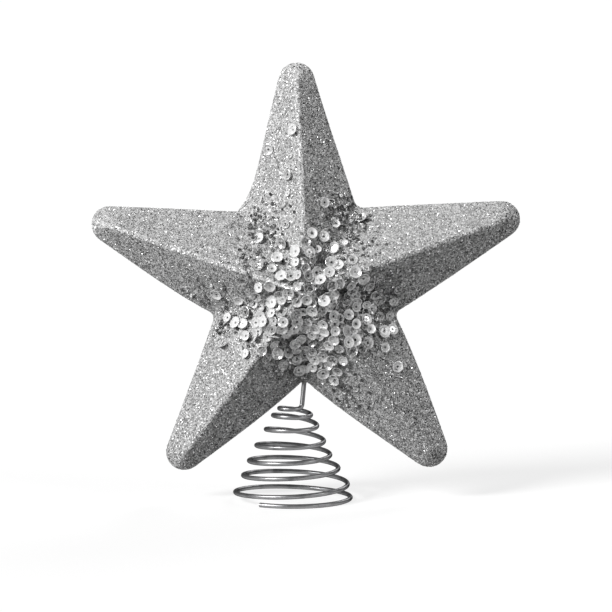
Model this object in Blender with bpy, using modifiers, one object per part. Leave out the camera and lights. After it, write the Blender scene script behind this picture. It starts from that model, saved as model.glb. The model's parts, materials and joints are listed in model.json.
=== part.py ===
"""A glittered five-point star on a conical wire spring, of the kind that is pushed onto the top of a tree.

Metres, +Z up. The star faces -Y and the spring stands on the plane z = 0.
"""

import math
import random

import bmesh
import bpy
from mathutils import Euler, Matrix, Vector

# The star: one foam body with ten front and ten rear facets, all of one slope.
STAR_ARMS = 5
STAR_TIP_RADIUS = 0.1062
ARM_HALF_ANGLE_DEG = 15.4
FACET_SLOPE_DEG = 34.5
TIP_ROUNDING = 0.0085
VALLEY_ROUNDING = 0.0040
RIDGE_ROUNDING = 0.0010
RIM_ROUNDING = 0.0025
STAR_CENTRE_X = 0.0005
STAR_LEAN_DEG = 1.0
TIP_STEPS = 6
VALLEY_STEPS = 3
RIM_STEPS = 3
SHARP_FROM_DEG = 28.0
# Points added along each side, as shares of the way from tip to valley, and sections added up the facets, as insets.
SIDE_SHARES = (0.2, 0.4, 0.6, 0.75, 0.87, 0.95)
FACET_INSETS = (0.012, 0.017, 0.022, 0.026)

# The foam is moulded a little unevenly. Each tip lies off its even place, right and up, clockwise from the top one.
TIP_SHIFTS = ((-0.0022, -0.0007), (0.0, -0.0003), (0.0011, 0.0002), (-0.0009, 0.0), (0.0, 0.0019))
TIP_SHIFT_START = 0.037
# The top arm spreads to the left down to its valley: how far, at what height, how it fades up, down and to each side.
FLARE = 0.0046
FLARE_HEIGHT = 0.0366
FLARE_RISE = 0.0078
FLARE_FALL = 0.011
FLARE_INNER = (0.004, 0.026)
FLARE_OUTER = (0.034, 0.060)
FLARED_VALLEY_ROUNDING = 0.0015

# The spring: one round wire, wound as a cone that grows downwards. Turns are counted from its top.
WIRE_DIAMETER = 0.0022
WIRE_RESOLUTION = 2
COIL_AXIS_OFFSET = -0.0057
COIL_START_RADIUS = 0.0043
COIL_NECK_RADIUS = 0.0066
COIL_FOOT_RADIUS = 0.0273
COIL_START_TURN = 0.10
COIL_NECK_TURN = 0.5
COIL_WIDEST_TURN = 6.5
COIL_FLAT_TURN = 6.82
COIL_END_TURN = 7.35
COIL_NECK_PITCH = 0.0036
COIL_PITCH = 0.0073
COIL_NECK_TILT_DEG = 5.2
COIL_TILT_TURN = 1.5
COIL_LEVEL_TURN = 5.0
COIL_OPENING_TURN = 1.65
COIL_OPENING_TURNS = 1.0
COIL_LEVELLING_TURNS = 0.1
POINTS_PER_TURN = 20

# The turns where the wire is divided: at each one the spring bends or closes up.
SWAY_TURN = 2.75
NOD_TURN = 4.0
BOB_TURN = 6.0

# The upright end of the wire, pushed into the foam, and the drop of glue round it.
STEM_RISE = 0.0126
STEM_INSERTION = 0.030
STEM_BEND_RADIUS = 0.0022
STEM_BEND_STEPS = 5
# The share of a turn over which the wire's heading at its start is taken.
HEADING_TURNS = 0.01
GLUE_RADIUS = 0.0032
GLUE_HEIGHT = 0.0022
GLUE_STEPS = 16
# The drop's outline from its widest place down: shares of its radius and of its height.
GLUE_OUTLINE = ((1.0, 0.0), (0.9, 0.45), (0.65, 0.8))

# The trim: cup sequins glued to the front facets.
SEQUIN_DIAMETER = 0.0058
SEQUIN_HOLE_DIAMETER = 0.0013
SEQUIN_CUP_DEPTH = 0.0007
SEQUIN_THICKNESS = 0.0003
SEQUIN_STEPS = 12
SEQUIN_TILT_DEG = 1.5
SEQUIN_SEED = 4
# Places on a facet: distance from the star's centre, and degrees from the arm's ridge.
SEQUIN_PLACES = ((0.016, 18.0), (0.027, 11.5), (0.029, 25.0), (0.040, 8.0))

# Touching pieces are modelled this far apart.
FIT_GAP = 0.0003

WIRE_RADIUS = WIRE_DIAMETER / 2
WIRE_SIDES = 4 + 2 * WIRE_RESOLUTION
WIRE_FLAT = WIRE_RADIUS * math.cos(math.pi / WIRE_SIDES)
COIL_AXIS_X = STAR_CENTRE_X + COIL_AXIS_OFFSET

# The star's outline has straight arm sides that would meet at sharp corners before rounding.
ARM_PITCH = 2 * math.pi / STAR_ARMS
TIP_ANGLE = math.radians(ARM_HALF_ANGLE_DEG)
VALLEY_ANGLE = TIP_ANGLE + ARM_PITCH / 2
FACET_SLOPE = math.radians(FACET_SLOPE_DEG)
SHARP_TIP_RADIUS = STAR_TIP_RADIUS + TIP_ROUNDING * (1 / math.sin(TIP_ANGLE) - 1)
SIDE_DISTANCE = SHARP_TIP_RADIUS * math.sin(TIP_ANGLE)
VALLEY_RADIUS = (SIDE_DISTANCE + VALLEY_ROUNDING) / math.sin(VALLEY_ANGLE) - VALLEY_ROUNDING


def clear_scene():
    for obj in list(bpy.data.objects):
        bpy.data.objects.remove(obj, do_unlink=True)


def new_collection(name):
    collection = bpy.data.collections.new(name)
    bpy.context.scene.collection.children.link(collection)
    return collection


def new_material(name, colour, roughness, metallic):
    made = bpy.data.materials.new(name)
    made.use_nodes = True
    shader = made.node_tree.nodes["Principled BSDF"]
    shader.inputs["Base Color"].default_value = (*colour, 1.0)
    shader.inputs["Roughness"].default_value = roughness
    shader.inputs["Metallic"].default_value = metallic
    return made


def new_empty(name, location, parent):
    """An empty at a world location that its parent may only have moved, not turned."""
    empty = bpy.data.objects.new(name, None)
    parts.objects.link(empty)
    empty.parent = parent
    empty.location = Vector(location) - (world_place(parent) if parent else Vector())
    return empty


def world_place(obj):
    place = Vector()
    while obj:
        place += obj.location
        obj = obj.parent
    return place


def new_part(name, data, material, parent):
    part = bpy.data.objects.new(name, data)
    parts.objects.link(part)
    part.parent = parent
    data.materials.append(material)
    return part


def smooth(value, start, end):
    """0 before start, 1 after end, and an even S between them."""
    share = min(max((value - start) / (end - start), 0.0), 1.0)
    return share * share * (3 - 2 * share)


def smooth_about(value, middle, width):
    return smooth(value, middle - width / 2, middle + width / 2)


def coil_radius(turn):
    neck = COIL_START_RADIUS + (COIL_NECK_RADIUS - COIL_START_RADIUS) * smooth(turn, 0, COIL_NECK_TURN)
    share = (turn - COIL_NECK_TURN) / (COIL_WIDEST_TURN - COIL_NECK_TURN)
    return neck + (COIL_FOOT_RADIUS - COIL_NECK_RADIUS) * min(max(share, 0.0), 1.0)


def coil_pitch(turn):
    """Fall of the wire in one turn: close at the neck, even below it and nothing on the flat foot."""
    opening = smooth_about(turn, COIL_OPENING_TURN, COIL_OPENING_TURNS)
    levelling = smooth_about(turn, COIL_FLAT_TURN, COIL_LEVELLING_TURNS)
    return (COIL_NECK_PITCH + (COIL_PITCH - COIL_NECK_PITCH) * opening) * (1 - levelling)


def coil_height(turn):
    """Height of the wire's centre line, added up from the flat foot."""
    steps = 200
    step = (COIL_END_TURN - turn) / steps
    return WIRE_FLAT + sum(coil_pitch(turn + (i + 0.5) * step) for i in range(steps)) * step


def coil_point(turn):
    """The wire's centre line: clockwise seen from above as it comes down, its neck turns low on the right."""
    angle = -2 * math.pi * turn
    across = coil_radius(turn) * math.cos(angle)
    along = coil_radius(turn) * math.sin(angle)
    droop = math.tan(math.radians(COIL_NECK_TILT_DEG)) * across * (1 - smooth(turn, COIL_TILT_TURN, COIL_LEVEL_TURN))
    return Vector((COIL_AXIS_X + across, along, coil_height(turn) - droop))


def coil_stretch(start, end, cut_start, cut_end):
    """Points from one turn to another, with half a gap left at each end that meets another piece."""
    gap = FIT_GAP / 2 / (2 * math.pi)
    first = start + (gap / coil_radius(start) if cut_start else 0)
    last = end - (gap / coil_radius(end) if cut_end else 0)
    count = math.ceil((last - first) * POINTS_PER_TURN)
    return [coil_point(first + (last - first) * i / count) for i in range(count + 1)]


def bend_points(before, corner, after):
    """A smooth bend that leaves the first leg and joins the second one at after."""
    start = corner + (before - corner).normalized() * (after - corner).length
    shares = [i / STEM_BEND_STEPS for i in range(STEM_BEND_STEPS)]
    return [start * (1 - t) ** 2 + corner * 2 * t * (1 - t) + after * t * t for t in shares]


def new_wire(name, points, parent, twist):
    curve = bpy.data.curves.new(name, "CURVE")
    curve.dimensions = "3D"
    curve.twist_mode = twist
    curve.bevel_depth = WIRE_RADIUS
    curve.bevel_resolution = WIRE_RESOLUTION
    curve.use_fill_caps = True
    spline = curve.splines.new("POLY")
    spline.points.add(len(points) - 1)
    origin = world_place(parent)
    for point, place in zip(spline.points, points):
        point.co = (*(place - origin), 1)
        point.tilt = math.pi / WIRE_SIDES
    spline.use_smooth = True
    return new_part(name, curve, steel, parent)


def facet_height(inset):
    """Half the star's thickness at a distance in from its outline: a round rim, then an even slope."""
    rim_inset = RIM_ROUNDING * (1 - math.sin(FACET_SLOPE))
    if inset < rim_inset:
        return math.sqrt(RIM_ROUNDING**2 - (RIM_ROUNDING - inset) ** 2)
    return RIM_ROUNDING * math.cos(FACET_SLOPE) + (inset - rim_inset) * math.tan(FACET_SLOPE)


def corner_arc(ray, centre_radius, radius, half_sweep, steps):
    """Points of an arc centred on a ray from the star's centre, the middle of the arc lying on the ray."""
    points = []
    for step in range(steps + 1):
        angle = ray + half_sweep * (2 * step / steps - 1)
        x = centre_radius * math.sin(ray) + radius * math.sin(angle)
        y = centre_radius * math.cos(ray) + radius * math.cos(angle)
        points.append(Vector((x, y, 0)))
    return points


def settle(point):
    """The place on the uneven star of a point on an even one."""
    arm = round(math.atan2(point.x, point.y) / ARM_PITCH)
    along = point.x * math.sin(arm * ARM_PITCH) + point.y * math.cos(arm * ARM_PITCH)
    right, up = TIP_SHIFTS[arm % STAR_ARMS]
    share = smooth(along, TIP_SHIFT_START, STAR_TIP_RADIUS)
    over = point.y - FLARE_HEIGHT
    fade = math.exp(-max(over, 0) / FLARE_RISE - (min(over, 0) / FLARE_FALL) ** 2)
    flare = FLARE * fade * smooth(-point.x, *FLARE_INNER) * (1 - smooth(-point.x, *FLARE_OUTER))
    return point + Vector((right * share - flare, up * share, 0))


def star_section(inset):
    """The star's outline moved in by a distance, with each tip and each valley as an arc."""
    height = Vector((0, 0, facet_height(inset)))
    tip_radius = max(TIP_ROUNDING - inset, RIDGE_ROUNDING)
    tip_centre = SHARP_TIP_RADIUS - (inset + tip_radius) / math.sin(TIP_ANGLE)
    sweep = VALLEY_ANGLE - math.pi / 2
    corners = []
    for arm in range(STAR_ARMS):
        ray = arm * ARM_PITCH
        corners.append(corner_arc(ray, tip_centre, tip_radius, math.pi / 2 - TIP_ANGLE, TIP_STEPS))
        rounding = FLARED_VALLEY_ROUNDING if arm == STAR_ARMS - 1 else VALLEY_ROUNDING
        valley_centre = (SIDE_DISTANCE - inset + rounding) / math.sin(VALLEY_ANGLE)
        corners.append(corner_arc(ray + ARM_PITCH / 2, valley_centre, -rounding, sweep, VALLEY_STEPS))
    points = []
    for i, corner in enumerate(corners):
        following = corners[(i + 1) % len(corners)][0]
        shares = [1 - share for share in reversed(SIDE_SHARES)] if i % 2 else SIDE_SHARES
        points += corner + [corner[-1].lerp(following, share) for share in shares]
    return [settle(point) + height for point in points]


def star_mesh():
    """The front half, lofted from the rim through ever smaller sections to the apex."""
    apex_inset = SIDE_DISTANCE - VALLEY_ROUNDING
    turns = [math.pi / 2 * step / RIM_STEPS * (1 - FACET_SLOPE_DEG / 90) for step in range(RIM_STEPS + 1)]
    insets = [RIM_ROUNDING * (1 - math.cos(turn)) for turn in turns]
    insets += [TIP_ROUNDING / 2, TIP_ROUNDING - RIDGE_ROUNDING, *FACET_INSETS, apex_inset]
    bm = bmesh.new()
    rings = [[bm.verts.new(point) for point in star_section(inset)] for inset in insets]
    for outer, inner in zip(rings, rings[1:]):
        for i in range(len(outer)):
            bm.faces.new((outer[i - 1], inner[i - 1], inner[i], outer[i]))
    top = bm.faces.new(rings[-1])
    raised = bmesh.ops.poke(bm, faces=[top], center_mode="MEAN")
    raised["verts"][0].co = (0, 0, facet_height(SIDE_DISTANCE - RIDGE_ROUNDING))
    bmesh.ops.recalc_face_normals(bm, faces=bm.faces)
    mesh = bpy.data.meshes.new("star_body")
    bm.to_mesh(mesh)
    bm.free()
    mesh.shade_smooth()
    mesh.set_sharp_from_angle(angle=math.radians(SHARP_FROM_DEG))
    return mesh


def new_star(parent):
    star = new_part("star_body", star_mesh(), glitter, parent)
    mirror = star.modifiers.new("rear half", "MIRROR")
    mirror.use_axis = (False, False, True)
    mirror.merge_threshold = 0.00001
    hole = star.modifiers.new("stem hole", "BOOLEAN")
    hole.operation = "DIFFERENCE"
    hole.solver = "EXACT"
    hole.object = stem_hole_cutter()
    return star


def stem_hole_cutter():
    """A drill along the upright end of the wire, longer than the wire by the gap."""
    bm = bmesh.new()
    reach = STEM_RISE + STEM_INSERTION + FIT_GAP
    bmesh.ops.create_cone(
        bm,
        cap_ends=True,
        segments=2 * WIRE_SIDES,
        radius1=WIRE_RADIUS + FIT_GAP,
        radius2=WIRE_RADIUS + FIT_GAP,
        depth=reach,
        matrix=Matrix.Translation((0, 0, reach / 2)),
    )
    mesh = bpy.data.meshes.new("stem_hole")
    bm.to_mesh(mesh)
    bm.free()
    cutter = bpy.data.objects.new("stem_hole", mesh)
    cutters.objects.link(cutter)
    cutter.location = stem_corner
    cutter.rotation_euler = stem_direction.to_track_quat("Z", "Y").to_euler()
    cutter.hide_render = True
    cutter.display_type = "WIRE"
    return cutter


def turned_part(name, profile, steps, material, parent):
    """A closed profile of (radius, height) points turned once round the part's own Z."""
    mesh = bpy.data.meshes.new(name)
    count = len(profile)
    edges = [(i, (i + 1) % count) for i in range(count)]
    mesh.from_pydata([(radius, 0, height) for radius, height in profile], edges, [])
    part = new_part(name, mesh, material, parent)
    turning = part.modifiers.new("turning", "SCREW")
    turning.steps = steps
    turning.render_steps = steps
    turning.use_merge_vertices = True
    turning.merge_threshold = 0.00001
    turning.use_smooth_shade = True
    return part


def new_glue(parent):
    """A drop that fills the crotch below the bottom valley, so its top slopes as the two lower arms do."""
    inner = WIRE_RADIUS + FIT_GAP
    slope = 1 / math.tan(VALLEY_ANGLE)
    widest = -slope * GLUE_RADIUS
    profile = [(GLUE_RADIUS * out, widest - GLUE_HEIGHT * down) for out, down in GLUE_OUTLINE]
    profile += [(inner, widest - GLUE_HEIGHT), (inner, -slope * inner)]
    drop = turned_part("glue_drop", profile, GLUE_STEPS, glue, parent)
    drop.location = bottom_valley - stem_direction * 2 * FIT_GAP - world_place(parent)
    drop.rotation_euler = stem_direction.to_track_quat("Z", "Y").to_euler()
    return drop


def new_sequins(parent):
    """Sequins on each front facet, sitting on their middles, with the cup's rim raised."""
    chance = random.Random(SEQUIN_SEED)
    rim = SEQUIN_DIAMETER / 2
    hole = SEQUIN_HOLE_DIAMETER / 2
    profile = [
        (rim, SEQUIN_CUP_DEPTH + SEQUIN_THICKNESS),
        (rim, SEQUIN_CUP_DEPTH),
        (hole, 0),
        (hole, SEQUIN_THICKNESS),
    ]
    number = 0
    for facet in range(2 * STAR_ARMS):
        ray = facet // 2 * ARM_PITCH
        side = 1 if facet % 2 else -1
        across = ray + side * (math.pi / 2 - TIP_ANGLE)
        outward = Vector((math.sin(across), math.cos(across), 0))
        normal = outward * math.sin(FACET_SLOPE) + Vector((0, 0, math.cos(FACET_SLOPE)))
        for distance, degrees in SEQUIN_PLACES:
            number += 1
            sequin = turned_part(f"sequin_{number:02d}", profile, SEQUIN_STEPS, sequin_foil, parent)
            turn = ray + side * math.radians(degrees)
            even = Vector((math.sin(turn), math.cos(turn), 0)) * distance
            height = Vector((0, 0, facet_height(SIDE_DISTANCE - even.dot(outward))))
            sequin.location = settle(even) + height + normal * FIT_GAP
            tilt = Euler([math.radians(chance.uniform(-SEQUIN_TILT_DEG, SEQUIN_TILT_DEG)) for _ in range(3)])
            sequin.rotation_euler = (normal.to_track_quat("Z", "Y") @ tilt.to_quaternion()).to_euler()


clear_scene()
parts = new_collection("star_tree_topper")
cutters = new_collection("cutters")
glitter = new_material("silver glitter", (0.50, 0.50, 0.50), 0.45, 0.7)
sequin_foil = new_material("silver sequin foil", (0.78, 0.78, 0.78), 0.18, 1.0)
steel = new_material("bright steel wire", (0.55, 0.55, 0.55), 0.28, 1.0)
glue = new_material("clear grey glue", (0.45, 0.45, 0.45), 0.25, 0.0)

# The wire's upright end starts at the corner of its bend and leads to the star's bottom valley.
coil_start = coil_point(COIL_START_TURN)
start_heading = (coil_point(COIL_START_TURN + HEADING_TURNS) - coil_start).normalized()
stem_corner = coil_start - start_heading * STEM_BEND_RADIUS
star_centre = Vector((STAR_CENTRE_X, 0, stem_corner.z + STEM_RISE + VALLEY_RADIUS))
lean = Matrix.Rotation(-math.radians(STAR_LEAN_DEG), 3, "Y")
bottom_valley = star_centre + lean @ Vector((0, 0, -VALLEY_RADIUS))
stem_direction = (bottom_valley - stem_corner).normalized()
stem_top = bottom_valley + stem_direction * STEM_INSERTION

bob_joint = new_empty("bob_joint", (COIL_AXIS_X, 0, coil_point(BOB_TURN).z), None)
nod_joint = new_empty("nod_joint", (COIL_AXIS_X, 0, coil_point(NOD_TURN).z), bob_joint)
sway_joint = new_empty("sway_joint", (COIL_AXIS_X, 0, coil_point(SWAY_TURN).z), nod_joint)
star_frame = new_empty("star_frame", star_centre, sway_joint)
star_frame.rotation_euler = (lean @ Matrix.Rotation(math.pi / 2, 3, "X")).to_euler()

foot_points = coil_stretch(BOB_TURN, COIL_END_TURN, True, False)
lower_points = coil_stretch(NOD_TURN, BOB_TURN, True, True)
upper_points = coil_stretch(SWAY_TURN, NOD_TURN, True, True)
neck_points = coil_stretch(COIL_START_TURN, SWAY_TURN, False, True)
stem_points = [stem_top, *bend_points(stem_top, stem_corner, coil_start), *neck_points]

new_wire("spring_wire_foot_turns", foot_points, None, "Z_UP")
new_wire("spring_wire_lower_turns", lower_points, bob_joint, "Z_UP")
new_wire("spring_wire_upper_turns", upper_points, nod_joint, "Z_UP")
new_wire("spring_wire_stem", stem_points, sway_joint, "MINIMUM")
new_star(star_frame)
new_glue(sway_joint)
new_sequins(star_frame)
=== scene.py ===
import json
import math

import bpy
import numpy as np
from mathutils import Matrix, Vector
from mathutils.bvhtree import BVHTree

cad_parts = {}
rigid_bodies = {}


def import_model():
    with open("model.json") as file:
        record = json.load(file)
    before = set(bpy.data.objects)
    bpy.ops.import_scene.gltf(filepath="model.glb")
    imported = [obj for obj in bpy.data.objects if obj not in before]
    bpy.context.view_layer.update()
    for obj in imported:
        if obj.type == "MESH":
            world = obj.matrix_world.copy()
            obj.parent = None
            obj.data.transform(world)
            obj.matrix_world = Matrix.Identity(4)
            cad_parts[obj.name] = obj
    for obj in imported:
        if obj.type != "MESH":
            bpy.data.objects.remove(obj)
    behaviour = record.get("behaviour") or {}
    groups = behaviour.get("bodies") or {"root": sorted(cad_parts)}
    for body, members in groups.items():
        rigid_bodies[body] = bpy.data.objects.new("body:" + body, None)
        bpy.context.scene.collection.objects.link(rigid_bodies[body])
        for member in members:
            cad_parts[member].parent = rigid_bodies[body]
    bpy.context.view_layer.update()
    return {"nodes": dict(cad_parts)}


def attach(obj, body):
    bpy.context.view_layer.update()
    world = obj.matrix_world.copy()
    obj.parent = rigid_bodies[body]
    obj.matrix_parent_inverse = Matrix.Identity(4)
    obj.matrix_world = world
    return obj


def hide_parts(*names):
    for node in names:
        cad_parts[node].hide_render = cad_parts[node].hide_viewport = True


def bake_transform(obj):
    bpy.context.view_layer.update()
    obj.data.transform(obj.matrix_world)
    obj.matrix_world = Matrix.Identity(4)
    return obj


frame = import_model()
scene = bpy.context.scene
millimetre = 0.001
millimetresPerMetre = 1000
centimetresPerMetre = 100
print("frame loaded:", len(frame["nodes"]), "nodes")


# Shared mesh and number helpers

def newPiece(name, verts, faces, material, smooth=True):
    # a mesh object at the origin from whole arrays; faces is one array per face size
    mesh = bpy.data.meshes.new(name)
    rows = [row for group in faces for row in np.asarray(group).tolist()]
    mesh.from_pydata(np.asarray(verts, float).reshape(-1, 3).tolist(), [], rows)
    mesh.polygons.foreach_set("use_smooth", np.full(len(mesh.polygons), smooth))
    mesh.materials.append(material)
    mesh.update()
    piece = bpy.data.objects.new(name, mesh)
    scene.collection.objects.link(piece)
    return piece


def gridFaces(rows, columns, closed):
    # quads between neighbouring rows and columns of a grid, its last column joined to its first where closed
    row, column = np.meshgrid(np.arange(rows - 1), np.arange(columns if closed else columns - 1), indexing="ij")
    after = (column + 1) % columns
    here, below = row * columns, (row + 1) * columns
    return np.stack([here + column, here + after, below + after, below + column], -1).reshape(-1, 4)


def fanFaces(pole, ring, flipped=False):
    # triangles from a pole to each side of a closed ring of points, turned over where flipped
    fan = np.stack([np.full(len(ring), pole), ring, np.roll(ring, -1)], -1)
    return fan[:, [0, 2, 1]] if flipped else fan


def unit(v):
    # each vector divided by its own length
    return v / np.linalg.norm(v, axis=-1, keepdims=True)


def easeBetween(value, start, end):
    # 0 before start, 1 after end, an even S between
    share = np.clip((value - start) / (end - start), 0, 1)
    return share * share * (3 - 2 * share)


def roundAngles(count):
    # this many angles spread evenly over a full turn
    return np.arange(count) * 2 * math.pi / count


def unitRing(count):
    # this many points spread evenly round a circle of radius 1
    angle = roundAngles(count)
    return np.stack([np.cos(angle), np.sin(angle)], -1)


def strew(rng, groups, gather):
    # places thrown about each group's centre, normally spread by its own spread drawn in to a share of it
    return np.concatenate([np.array([[x, y]]) + rng.normal(0, spread * gather, (number, 2))
                           for x, y, spread, number in groups])


def setTone(piece, values, perShape):
    # one number per small shape, written to each of its points
    attribute = piece.data.attributes.new("tone", "FLOAT", "POINT")
    attribute.data.foreach_set("value", np.repeat(values, perShape).astype(np.float32))


# Shared material helpers

def newMaterial(name):
    # a material with its node tree and its main shader
    made = bpy.data.materials.new(name)
    made.use_nodes = True
    return made, made.node_tree, made.node_tree.nodes["Principled BSDF"]


def setInputs(tree, node, inputs):
    # give a node its input values or links by socket name
    for key, value in inputs.items():
        if isinstance(value, bpy.types.NodeSocket):
            tree.links.new(value, node.inputs[key])
        else:
            node.inputs[key].default_value = value


def addNode(tree, kind, inputs=None, **settings):
    # a node with its settings and its inputs
    node = tree.nodes.new(kind)
    for key, value in settings.items():
        setattr(node, key, value)
    setInputs(tree, node, inputs or {})
    return node


def mathNode(tree, operation, *values):
    # one sum on numbers or links
    return addNode(tree, "ShaderNodeMath", dict(enumerate(values)), operation=operation).outputs[0]


def vectorNode(tree, operation, inputs):
    # one sum on vectors
    return addNode(tree, "ShaderNodeVectorMath", inputs, operation=operation).outputs[0]


def mapNode(tree, value, low, high, start=0.0, end=1.0):
    # what runs from start to end made to run from low to high
    inputs = {"Value": value, "From Min": start, "From Max": end, "To Min": low, "To Max": high}
    return addNode(tree, "ShaderNodeMapRange", inputs).outputs[0]


def noiseNode(tree, place, scale, detail, roughness=0.5):
    # cloudy noise between 0 and 1
    inputs = {"Vector": place, "Scale": scale, "Detail": detail, "Roughness": roughness}
    return addNode(tree, "ShaderNodeTexNoise", inputs).outputs["Fac"]


def cellNode(tree, place, scale):
    # Voronoi cells, each with a random colour
    inputs = {"Vector": place, "Scale": scale, "Randomness": 1.0}
    return addNode(tree, "ShaderNodeTexVoronoi", inputs).outputs["Color"]


def channelsOf(tree, colour):
    # the red, green and blue of a colour
    return addNode(tree, "ShaderNodeSeparateColor", {"Color": colour}).outputs


def bumpNode(tree, height, strength, distance):
    # normals turned by a height
    return addNode(tree, "ShaderNodeBump", {"Height": height, "Strength": strength, "Distance": distance}).outputs[0]


def placeNode(tree, kind="Object"):
    # where on the piece a point lies
    return addNode(tree, "ShaderNodeTexCoord").outputs[kind]


def attributeNode(tree, name):
    # a number stored on the piece's points
    return addNode(tree, "ShaderNodeAttribute", attribute_name=name).outputs["Fac"]


def rampNode(tree, fac, stops):
    # a colour ramp of grey or RGB stops
    ramp = addNode(tree, "ShaderNodeValToRGB", {"Fac": fac})
    while len(ramp.color_ramp.elements) < len(stops):
        ramp.color_ramp.elements.new(0.5)
    for element, (place, colour) in zip(ramp.color_ramp.elements, stops):
        element.position = place
        element.color = (*colour, 1) if isinstance(colour, tuple) else (colour, colour, colour, 1)
    return ramp.outputs["Color"]


# Light and camera of the photo

studio = {
    "keyStrength": 3.36,
    "keyFrom": (-0.66, -0.52, 0.54),
    "fillStrength": 0.60,
    "fillFrom": (0.80, -0.38, 0.46),
    "backStrength": 0.8,
    "backFrom": (0.45, 0.80, 0.60),
    "lampAngle": math.radians(20),
    "world": 0.16,
    "floorGlow": 0.73,
    "floorSeen": 0.30,      # the floor's grey to the eye, and to bounced light
    "floorBounced": 0.03,
    "floorHalf": 14,        # half its width in metres
    "floorLines": 9,
}
camera = {
    "target": (0.0010, 0.0, 0.0924),
    "distance": 2.5,
    "elevation": math.radians(7.23),
    "yaw": math.radians(1.2),
    "focalPixels": 5302,
    "photoPixels": 612,     # width of the photo
    "sensor": 36,
    "farthest": 60,
}
towardsEye = np.array([math.sin(camera["yaw"]) * math.cos(camera["elevation"]),
                       -math.cos(camera["yaw"]) * math.cos(camera["elevation"]), math.sin(camera["elevation"])])
eyeRight = np.array([math.cos(camera["yaw"]), math.sin(camera["yaw"]), 0.0])
eyeUp = np.cross(towardsEye, eyeRight)


# Star body

star = {
    "arms": 5,
    "tipRadius": 0.1062,
    "halfAngle": math.radians(15.4),
    "slope": math.radians(34.5),
    "tipRounding": 0.0085,
    "valleyRounding": (0.0045, 0.0040, 0.0040, 0.0042, 0.0015),  # clockwise from the one right of the top arm
    "valleyKeeps": 0.15,           # share of a valley's rounding that is left at the middle
    "ridgeRounding": 0.0010,
    "rimRounding": 0.0025,
    "lastRing": 0.0027,            # how far the last ring stops short of the middle, and the pole below a sharp one
    "pole": 0.0010,
    "centre": (0.0005, 0.0, 0.10197),
    "lean": math.radians(1.0),
    # how far each tip is off an even star, right and up, clockwise from the top arm, easing in from this far out
    "tipSet": ((-0.0022, -0.0007), (0.0003, 0.0), (0.0001, 0.0004), (-0.0012, 0.0006), (0.0014, 0.0004)),
    "tipFrom": 0.037,
    # the same for the valleys, clockwise from the one right of the top arm, easing in between these radii
    "valleySet": ((-0.0009, 0.0007), (0.0, 0.0), (-0.0011, -0.0003), (-0.0006, 0.0006), (0.0, 0.0)),
    "valleyReach": (0.012, 0.045),
    # how far the two sides of each arm bulge: the one before its ridge, clockwise, and the one after it
    "sideSet": ((0.0004, -0.0005), (0.0003, 0.0005), (0.0011, 0.0011), (0.0010, 0.0), (0.0011, 0.0)),
    "sideReach": (0.036, 0.104),   # where along the arm the bulge starts and ends
    "sideSkew": 0.75,              # below 1 the bulge is fullest nearer to the middle
    "sideLeast": 0.001,            # the least width that an arm counts with
    "flare": 0.0046,               # the top arm spreads to the left where it meets its valley
    "flareValley": 0.0366,         # height of that valley over the centre
    "flareFades": (0.0078, 0.011),   # how fast the spread fades, up and down
    "flareStarts": (0.004, 0.026),   # it eases in over these distances to the left, and out over those
    "flareEnds": (0.034, 0.060),
    "waviness": 0.00012,           # the foam's own unevenness
    "swell": (190, 1.3, 160, 0.4),   # its waves to the right and up, in radians to the metre, and their phases
    "ripple": (0.6, 410, 370),     # strength of the finer slanting waves, and their radians to the metre
    "wavesFrom": 0.001,            # the rim below this height has none
    "ridgeHighlight": (0.0013, 0.0028),     # painted highlight on a ridge's crest, fading between these distances down its side
    "ridgeHighlightArm": (1.0, 0.78, 0.62, 0.95, 1.0),  # and weaker on the arms to the right, away from the key light
    "pointsTip": 11,
    "pointsSide": 14,
    "pointsValley": 7,
    "levelsRim": 7,
    "levelsSlope": 30,
}
armPitch = 2 * math.pi / star["arms"]
sideTurn = math.pi / 2 - star["halfAngle"]
valleyAngle = star["halfAngle"] + armPitch / 2
sharpTip = star["tipRadius"] + star["tipRounding"] * (1 / math.sin(star["halfAngle"]) - 1)
sideDistance = sharpTip * math.sin(star["halfAngle"])


def facetHeight(inset):
    # half the thickness at a distance in from the outline: a quarter-round rim, then an even slope
    e, slope = star["rimRounding"], star["slope"]
    rimInset = e * (1 - math.sin(slope))
    onRim = np.sqrt(np.maximum(e * e - (e - np.minimum(inset, rimInset)) ** 2, 0))
    return np.where(inset < rimInset, onRim, e * math.cos(slope) + (inset - rimInset) * math.tan(slope))


def arcOnRay(ray, centre, radius, sweep, count):
    # points at angle ray + s about a centre on the ray, s running evenly from -sweep to +sweep
    angle = ray + sweep * np.linspace(-1, 1, count)
    x = centre[:, None] * math.sin(ray) + radius[:, None] * np.sin(angle)
    y = centre[:, None] * math.cos(ray) + radius[:, None] * np.cos(angle)
    return np.stack([x, y], -1)


def tipRounding(insets):
    # the radius of the tip arc at each inset, which shrinks with it to that of the ridge
    return np.maximum(star["tipRounding"] - insets, star["ridgeRounding"])


def starSections(insets):
    # the rounded star outline moved in by each inset: tip arc, straight side, valley arc, straight side, arm by arm
    tipRadius = tipRounding(insets)
    tipCentre = sharpTip - (insets + tipRadius) / math.sin(star["halfAngle"])
    left = 1 - insets / sideDistance
    keeps = star["valleyKeeps"]
    arcs = []
    for arm in range(star["arms"]):
        ray = arm * armPitch
        arcs.append(arcOnRay(ray, tipCentre, tipRadius, sideTurn, star["pointsTip"]))
        rounding = star["valleyRounding"][arm] * (keeps + (1 - keeps) * left)
        centre = (sideDistance - insets + rounding) / math.sin(valleyAngle)
        arcs.append(arcOnRay(ray + armPitch / 2, centre, -rounding, valleyAngle - math.pi / 2, star["pointsValley"]))
    share = np.linspace(0, 1, star["pointsSide"] + 2)[1:-1, None]
    loops = []
    for i, arc in enumerate(arcs):
        start, end = arc[:, -1:], arcs[(i + 1) % len(arcs)][:, :1]
        loops += [arc, start * (1 - share) + end * share]
    return np.concatenate(loops, axis=1)


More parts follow.
